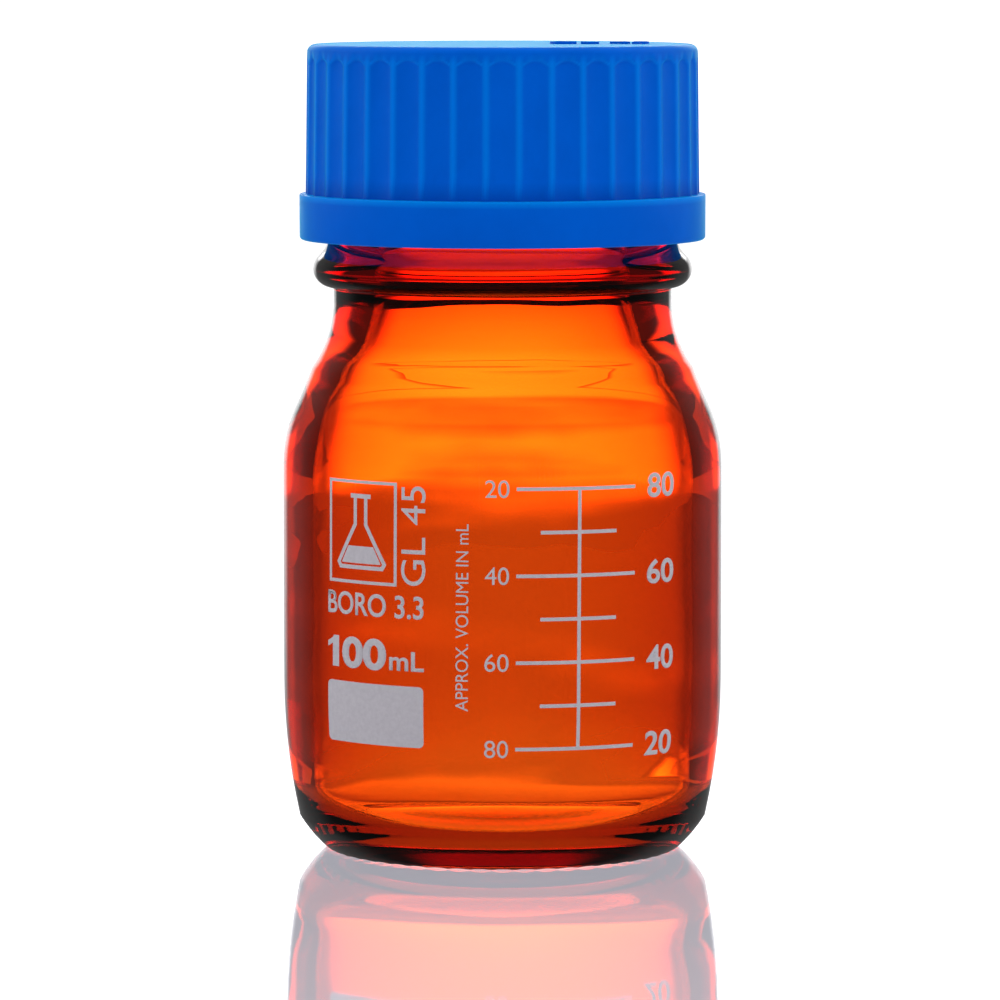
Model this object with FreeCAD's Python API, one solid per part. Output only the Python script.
"""Amber 100 mL laboratory reagent bottle with a GL45 screw cap.

The origin is the centre of the ring that the bottle stands on, +Z is the bottle's axis and
-Y is its printed front.  All lengths are in millimetres.
"""
import FreeCAD, Part
import math
import os

V = FreeCAD.Vector
ORIGIN = V(0, 0, 0)
Z_AXIS = V(0, 0, 1)

# Driving dimensions of the glass
BODY_RADIUS = 28.0
BODY_BORE_RADIUS = 24.3
STRAIGHT_BODY_LOW = 22.0
STRAIGHT_BODY_HIGH = 49.0
CONTACT_INNER_RADIUS = 20.8
CONTACT_OUTER_RADIUS = 22.4
HEEL_LINE_HEIGHT = 4.3
SIDE_TAPER_RADIUS = 81.5
PUSH_UP_HEIGHT = 2.7
FLOOR_HEIGHT = 5.2
MOULD_LINE = (24.3, 61.6)
NECK_RADIUS = 21.55
NECK_LOW = 69.4
BEAD_LOW = 71.9
BEAD_RADIUS = 24.18
BEAD_HEIGHT = 74.2
THREAD_ZONE_LOW = 79.8
THREAD_ROOT_RADIUS = 20.75
RIM_RADIUS = 20.2
RIM_LOW = 94.4
RIM_HEIGHT = 98.4
MOUTH_RADIUS = 15.0
MOUTH_LOW = 86.0
LIP_ROUND = 0.8

# GL45 thread: a right-hand ridge of 4 mm pitch on the neck, and one half a pitch away in the cap
THREAD_PITCH = 4.0
RIDGE_BASE_WIDTH = 2.1
RIDGE_CREST_WIDTH = 0.9
RIDGE_SUNK = 0.4
NECK_RIDGE_CREST = 22.4
NECK_RIDGE_START = 82.0
NECK_RIDGE_TURNS = 2.5
CAP_RIDGE_CREST = 21.5
CAP_RIDGE_START = NECK_RIDGE_START - THREAD_PITCH / 2
CAP_RIDGE_TURNS = 3.5

# Pouring ring, which clips over the rim
RING_SKIRT_LOW = 95.0
RING_CLEARANCE = 0.05
RING_RADIUS = 21.15
RING_LIP_THICKNESS = 0.8

# Seal liner, a loose disc that the cap presses on the ring
LINER_RADIUS = 22.3
LINER_THICKNESS = 1.4
LINER_CLEARANCE = 0.05

# Screw cap
CAP_LOW = 77.9
CAP_TOP = 102.7
CAP_BORE_RADIUS = 23.0
CAP_MOUTH_RADIUS = 23.7
CAP_TOP_WALL = 2.0
CAP_MARK_HEIGHT = 0.3
CAP_MARK_OFFSET = 12.3
CAP_MARK_SIZE = (13.4, 4.6)
CAP_TOP_FILLET = 1.0
COLLAR_RADIUS = 25.85
COLLAR_HIGH = 83.7
COLLAR_ROUND = 0.5
GRIP_RADIUS_LOW = 25.05
GRIP_RADIUS_HIGH = 24.83
FLUTE_COUNT = 38
FLUTE_DEPTH = 0.4
FLUTE_CUTTER_RADIUS = 3.6
FLUTE_HIGH = 101.2

# Fired enamel: lengths along the glass, angles from the front, positive to the right
ENAMEL_THICKNESS = 0.04
COAT_LOW = 10.0
SCALE_LINE_WIDTH = 0.45
SCALE_UPRIGHT_ANGLE = 19.8
LEVEL_20_ML = 16.0
LEVEL_STEP = 10.8
LEVEL_MARKS = 4
LONG_MARK_ANGLES = (3.4, 35.9)
SHORT_MARK_ANGLES = (9.6, 30.2)
PATCH_ANGLES = (-51.2, -20.5)
PATCH_HEIGHTS = (15.85, 23.5)
PATCH_ROUND = 0.65


def point(radius, height):
    """A point of a half section, in the XZ plane."""
    return V(radius, 0, height)


def outline(start, moves):
    """Edges through a half section: ("line", end) or ("arc", point on the arc, end)."""
    edges = []
    here = start
    for move in moves:
        if move[0] == "line":
            edges.append(Part.makeLine(point(*here), point(*move[1])))
        else:
            edges.append(Part.Arc(point(*here), point(*move[1]), point(*move[2])).toShape())
        here = move[-1]
    return edges


def revolved(start, moves):
    """A solid of revolution from a half section that closes on its start."""
    face = Part.Face(Part.Wire(outline(start, moves + [("line", start)])))
    return face.revolve(ORIGIN, Z_AXIS, 360)


def fillet_middle(corner, size, start_angle):
    """The middle point of a quarter-round of the given size about a centre."""
    angle = math.radians(start_angle + 45)
    return (corner[0] + size * math.cos(angle), corner[1] + size * math.sin(angle))


def side_radius(height):
    """The outer radius of the lower body, which draws in below its straight part."""
    drop = max(0.0, STRAIGHT_BODY_LOW - height)
    return BODY_RADIUS - SIDE_TAPER_RADIUS + math.sqrt(SIDE_TAPER_RADIUS ** 2 - drop ** 2)


def helical_ridge(start, turns, root_radius, crest_radius):
    """A right-hand ridge of trapezoid section, sunk a little into the wall that carries it."""
    outward = 1 if crest_radius > root_radius else -1
    sunk_radius = root_radius - outward * RIDGE_SUNK
    corners = [
        (sunk_radius, -RIDGE_BASE_WIDTH / 2),
        (root_radius, -RIDGE_BASE_WIDTH / 2),
        (crest_radius, -RIDGE_CREST_WIDTH / 2),
        (crest_radius, RIDGE_CREST_WIDTH / 2),
        (root_radius, RIDGE_BASE_WIDTH / 2),
        (sunk_radius, RIDGE_BASE_WIDTH / 2),
    ]
    section = Part.makePolygon([point(*corner) for corner in corners + corners[:1]])
    path = Part.Wire(Part.makeLongHelix(THREAD_PITCH, THREAD_PITCH * turns, root_radius).Edges)
    ridge = path.makePipeShell([section], True, True)
    ridge.translate(V(0, 0, start))
    return ridge


def bottle_outside():
    """The glass as a full solid, with the push-up under it and no cavity."""
    lip_centre = (RIM_RADIUS - LIP_ROUND, RIM_HEIGHT - LIP_ROUND)
    heel_line = (side_radius(HEEL_LINE_HEIGHT), HEEL_LINE_HEIGHT)
    return revolved((0, PUSH_UP_HEIGHT), [
        ("arc", (11.0, 2.5), (18.0, 2.0)),
        ("line", (19.6, 1.45)),
        ("line", (CONTACT_INNER_RADIUS, 0)),
        ("line", (CONTACT_OUTER_RADIUS, 0)),
        ("arc", (24.42, 2.05), heel_line),
        ("arc", (side_radius(13.0), 13.0), (BODY_RADIUS, STRAIGHT_BODY_LOW)),
        ("line", (BODY_RADIUS, STRAIGHT_BODY_HIGH)),
        ("arc", (27.45, 53.6), (25.85, 57.8)),
        ("arc", (25.05, 59.6), MOULD_LINE),
        ("arc", (22.35, 65.3), (NECK_RADIUS, NECK_LOW)),
        ("line", (NECK_RADIUS, BEAD_LOW)),
        ("arc", (BEAD_RADIUS, BEAD_HEIGHT), (23.2, 76.1)),
        ("arc", (22.15, 77.9), (21.9, 78.7)),
        ("line", (THREAD_ROOT_RADIUS, THREAD_ZONE_LOW)),
        ("line", (THREAD_ROOT_RADIUS, RIM_LOW - 0.6)),
        ("line", (RIM_RADIUS, RIM_LOW)),
        ("line", (RIM_RADIUS, lip_centre[1])),
        ("arc", fillet_middle(lip_centre, LIP_ROUND, 0), (lip_centre[0], RIM_HEIGHT)),
        ("line", (0, RIM_HEIGHT)),
    ])


def bottle_inside():
    """The cavity and the mouth's bore, as a solid to take out of the glass."""
    return revolved((0, FLOOR_HEIGHT), [
        ("arc", (9.0, 4.6), (18.5, 3.4)),
        ("arc", (22.6, 5.6), (23.9, 11.0)),
        ("line", (BODY_BORE_RADIUS, 20.0)),
        ("line", (BODY_BORE_RADIUS, 48.0)),
        ("arc", (23.85, 52.2), (22.6, 56.4)),
        ("arc", (21.55, 59.0), (20.2, 61.6)),
        ("line", (18.0, 65.2)),
        ("arc", (16.8, 69.5), (16.3, 74.0)),
        ("line", (MOUTH_RADIUS, MOUTH_LOW)),
        ("line", (MOUTH_RADIUS, RIM_HEIGHT - LIP_ROUND)),
        ("line", (MOUTH_RADIUS + LIP_ROUND, RIM_HEIGHT)),
        ("line", (MOUTH_RADIUS + LIP_ROUND, RIM_HEIGHT + 1)),
        ("line", (0, RIM_HEIGHT + 1)),
    ])


def bottle():
    ridge = helical_ridge(NECK_RIDGE_START, NECK_RIDGE_TURNS, THREAD_ROOT_RADIUS, NECK_RIDGE_CREST)
    return bottle_outside().fuse(ridge).cut(bottle_inside())


def pouring_ring():
    """A skirt round the rim and a thin lip over it, with the mouth left open."""
    top = RIM_HEIGHT + RING_CLEARANCE + RING_LIP_THICKNESS
    skirt_bore = RIM_RADIUS + RING_CLEARANCE
    lip_low = RIM_HEIGHT + RING_CLEARANCE
    return revolved((skirt_bore, RING_SKIRT_LOW), [
        ("line", (RING_RADIUS - 0.2, RING_SKIRT_LOW)),
        ("line", (RING_RADIUS, RING_SKIRT_LOW + 0.4)),
        ("line", (RING_RADIUS, top - 0.3)),
        ("line", (RING_RADIUS - 0.3, top)),
        ("line", (MOUTH_RADIUS + 1.4, top)),
        ("line", (MOUTH_RADIUS + 0.6, top - 0.4)),
        ("line", (MOUTH_RADIUS + 0.9, lip_low)),
        ("line", (skirt_bore, lip_low)),
    ])


def seal_liner():
    low = RIM_HEIGHT + RING_CLEARANCE + RING_LIP_THICKNESS + LINER_CLEARANCE
    return Part.makeCylinder(LINER_RADIUS, LINER_THICKNESS, V(0, 0, low))


def flute_cutter(index):
    """One upright scallop of the grip, with a rounded top end."""
    angle = math.radians(-90 + index * 360 / FLUTE_COUNT)
    reach = GRIP_RADIUS_LOW + FLUTE_CUTTER_RADIUS - FLUTE_DEPTH
    foot = V(reach * math.cos(angle), reach * math.sin(angle), COLLAR_HIGH)
    round_top = FLUTE_HIGH - math.sqrt(FLUTE_CUTTER_RADIUS ** 2 - (reach - GRIP_RADIUS_HIGH) ** 2)
    shaft = Part.makeCylinder(FLUTE_CUTTER_RADIUS, round_top - COLLAR_HIGH, foot)
    end = Part.makeSphere(FLUTE_CUTTER_RADIUS, V(foot.x, foot.y, round_top))
    return shaft.fuse(end)


def cap_mark():
    """A raised, plain, round-ended field moulded on the cap's top, to the right of its centre."""
    length, width = CAP_MARK_SIZE
    corner = V(CAP_MARK_OFFSET - length / 2, -width / 2, CAP_TOP - CAP_MARK_HEIGHT)
    field = Part.makeBox(length, width, 2 * CAP_MARK_HEIGHT, corner)
    uprights = [edge for edge in field.Edges if abs(edge.tangentAt(edge.FirstParameter).z) > 0.99]
    return field.makeFillet(0.49 * width, uprights)


def screw_cap():
    """Collar, fluted grip wall, flat top wall and the ridge that runs on the neck's thread."""
    fillet_centre = (GRIP_RADIUS_HIGH - CAP_TOP_FILLET, CAP_TOP - CAP_TOP_FILLET)
    round_centre = (COLLAR_RADIUS - COLLAR_ROUND, CAP_LOW + COLLAR_ROUND)
    shell = revolved((CAP_MOUTH_RADIUS, CAP_LOW), [
        ("line", (round_centre[0], CAP_LOW)),
        ("arc", fillet_middle(round_centre, COLLAR_ROUND, -90), (COLLAR_RADIUS, round_centre[1])),
        ("line", (COLLAR_RADIUS, COLLAR_HIGH)),
        ("line", (GRIP_RADIUS_LOW, COLLAR_HIGH)),
        ("line", (GRIP_RADIUS_HIGH, fillet_centre[1])),
        ("arc", fillet_middle(fillet_centre, CAP_TOP_FILLET, 0), (fillet_centre[0], CAP_TOP)),
        ("line", (0, CAP_TOP)),
        ("line", (0, CAP_TOP - CAP_TOP_WALL)),
        ("line", (CAP_BORE_RADIUS, CAP_TOP - CAP_TOP_WALL)),
        ("line", (CAP_BORE_RADIUS, CAP_LOW + CAP_MOUTH_RADIUS - CAP_BORE_RADIUS)),
    ])
    flutes = Part.makeCompound([flute_cutter(index) for index in range(FLUTE_COUNT)])
    ridge = helical_ridge(CAP_RIDGE_START, CAP_RIDGE_TURNS, CAP_BORE_RADIUS, CAP_RIDGE_CREST)
    return shell.cut(flutes).fuse(ridge).fuse(cap_mark())


def enamel_coat():
    """Enamel all round the printed body, which the marks are cut from."""
    low = COAT_LOW
    middle = (low + STRAIGHT_BODY_LOW) / 2
    face_radius = BODY_RADIUS + ENAMEL_THICKNESS
    return revolved((side_radius(low), low), [
        ("arc", (side_radius(middle), middle), (BODY_RADIUS, STRAIGHT_BODY_LOW)),
        ("line", (BODY_RADIUS, STRAIGHT_BODY_HIGH)),
        ("line", (face_radius, STRAIGHT_BODY_HIGH)),
        ("line", (face_radius, STRAIGHT_BODY_LOW)),
        ("arc", (side_radius(middle) + ENAMEL_THICKNESS, middle), (side_radius(low) + ENAMEL_THICKNESS, low)),
    ])


def wedge(angles, low, high):
    """A sector between two angles from the front, reaching past the glass."""
    reach = BODY_RADIUS + 5
    sector = Part.makeCylinder(reach, high - low, V(0, 0, low), Z_AXIS, angles[1] - angles[0])
    sector.rotate(ORIGIN, Z_AXIS, angles[0] - 90)
    return sector


def graduation_scale():
    """An upright line with long marks every 20 mL and short marks half way between them."""
    half = SCALE_LINE_WIDTH / 2
    half_angle = math.degrees(half / BODY_RADIUS)
    top_level = LEVEL_20_ML + LEVEL_STEP * (LEVEL_MARKS - 1)
    upright = (SCALE_UPRIGHT_ANGLE - half_angle, SCALE_UPRIGHT_ANGLE + half_angle)
    coat = enamel_coat()
    scale = coat.common(wedge(upright, LEVEL_20_ML - half, top_level + half))
    for step in range(2 * LEVEL_MARKS - 1):
        level = LEVEL_20_ML + step * LEVEL_STEP / 2
        angles = SHORT_MARK_ANGLES if step % 2 else LONG_MARK_ANGLES
        scale = scale.fuse(coat.common(wedge(angles, level - half, level + half)))
    return scale.removeSplitter()


def writing_patch():
    """A rounded rectangle of enamel, cut from the coat by a flat prism."""
    middle = (PATCH_ANGLES[0] + PATCH_ANGLES[1]) / 2
    width = 2 * BODY_RADIUS * math.sin(math.radians(PATCH_ANGLES[1] - middle))
    height = PATCH_HEIGHTS[1] - PATCH_HEIGHTS[0]
    prism = Part.makeBox(width, BODY_RADIUS, height, V(-width / 2, -1.2 * BODY_RADIUS, PATCH_HEIGHTS[0]))
    corners = [edge for edge in prism.Edges if abs(edge.tangentAt(edge.FirstParameter).y) > 0.99]
    prism = prism.makeFillet(PATCH_ROUND, corners)
    prism.rotate(ORIGIN, Z_AXIS, middle)
    return enamel_coat().common(prism)


def save(name, shape):
    if len(shape.Solids) == 1:
        shape = shape.Solids[0]
    box = shape.BoundBox
    print(name, "valid", shape.isValid(), "solids", len(shape.Solids), "volume", round(shape.Volume, 1),
          "z", round(box.ZMin, 3), round(box.ZMax, 3), "radius", round(box.XMax, 3))
    shape.exportStep(os.path.join("parts", name + ".step"))


os.makedirs("parts", exist_ok=True)
for make in (bottle, pouring_ring, seal_liner, screw_cap, graduation_scale, writing_patch):
    save(make.__name__, make())
